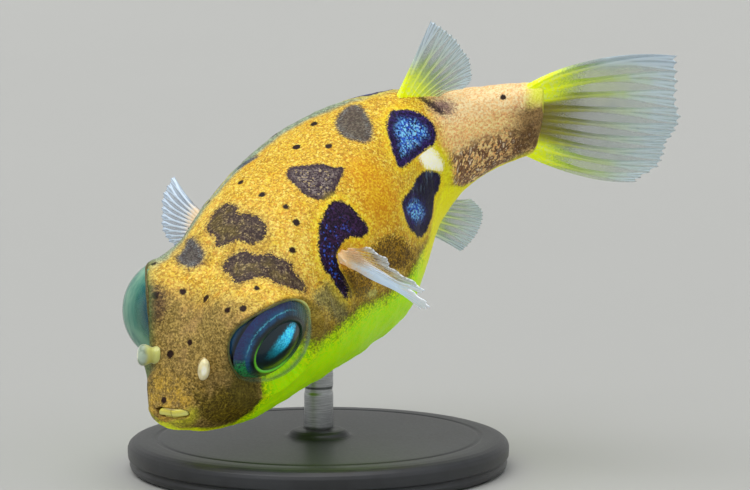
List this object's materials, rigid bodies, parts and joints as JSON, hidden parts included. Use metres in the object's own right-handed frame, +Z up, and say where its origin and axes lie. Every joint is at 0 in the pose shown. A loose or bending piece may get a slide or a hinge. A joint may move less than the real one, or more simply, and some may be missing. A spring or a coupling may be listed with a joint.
{
  "type": "freshwater dwarf pufferfish",
  "caption": "Small spotted freshwater pufferfish as a still, life-size model, diving to its left on a plain disc stand with a short rod.",
  "frame": {"origin": "centre of the underside of the stand's base", "axes": "+Z up, the fish's heading is along -Y with its snout down, its left side is towards +X"},
  "size_m": [0.021, 0.0232, 0.0201],
  "materials": {
    "skin": "moist, stippled gold with dark blotches and a lime belly",
    "eye": "clear domed gloss over an iridescent blue-green iris",
    "nostril": "pale, moist and a little translucent",
    "beak": "polished ivory yellow",
    "pectoral_fin": "thin milky membrane with paler rays",
    "median_fin": "thin clear membrane, lime at the root",
    "stand_base": "satin black",
    "stand_rod": "fine brushed"
  },
  "bodies": {
    "root": {"head": "skin", "trunk": "skin", "tail": "skin", "eye_left": "eye", "eye_right": "eye", "nostril_left": "nostril", "nostril_right": "nostril", "upper_beak": "beak", "lower_beak": "beak", "pectoral_fin_left": "pectoral_fin", "pectoral_fin_right": "pectoral_fin", "dorsal_fin": "median_fin", "anal_fin": "median_fin", "caudal_fin": "median_fin", "stand_base": "stand_base", "stand_rod": "stand_rod"}
  },
  "joints": []
}
